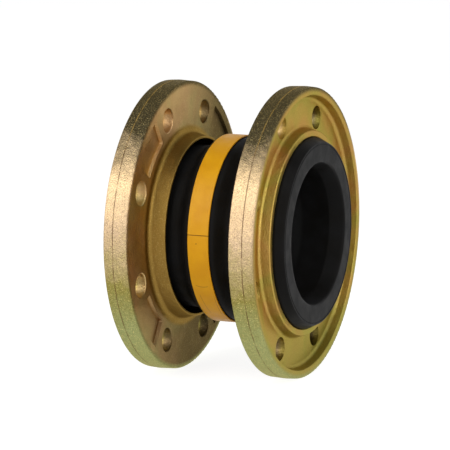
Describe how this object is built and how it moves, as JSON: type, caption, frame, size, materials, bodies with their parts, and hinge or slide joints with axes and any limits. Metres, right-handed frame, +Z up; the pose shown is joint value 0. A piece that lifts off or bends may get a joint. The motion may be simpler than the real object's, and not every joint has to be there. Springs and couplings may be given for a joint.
{
  "type": "rubber expansion joint",
  "caption": "Flanged rubber expansion joint with a single arch and loose drilled flanges, for taking up movement between two pipes.",
  "frame": {"origin": "the middle of the joint, on the pipe axis", "axes": "+X along the pipe axis towards the right flange, +Z up, bolt holes straddling both other axes"},
  "size_m": [0.136, 0.22, 0.22],
  "materials": {
    "chromated_steel": "rough forged steel, yellow chromated zinc, slightly iridescent",
    "black_rubber": "satin moulded rubber",
    "band_rubber": "satin yellow strip bonded to the crest"
  },
  "bodies": {
    "left_flange": {"left_flange": "chromated_steel"},
    "bellows": {"rubber_bellows": "black_rubber"},
    "band": {"yellow_band": "band_rubber"},
    "right_flange": {"right_flange": "chromated_steel"}
  },
  "joints": [
    {"name": "left_swivel", "type": "hinge", "parent": "left_flange", "child": "bellows", "pos_m": [-0.05, 0, 0], "axis": [1, 0, 0], "continuous": true},
    {"name": "axial_travel", "type": "slide", "parent": "bellows", "child": "right_flange", "axis": [1, 0, 0], "range_m": [-0.018, 0.012], "stiffness_N_per_m": 80000, "deforming": ["rubber_bellows"]},
    {"name": "crest_travel", "type": "slide", "parent": "bellows", "child": "band", "axis": [1, 0, 0], "range_m": [-0.009, 0.006], "deforming": ["rubber_bellows"]}
  ],
  "couplings": [
    {"joint": "crest_travel", "follows": "axial_travel", "ratio": 0.5}
  ]
}
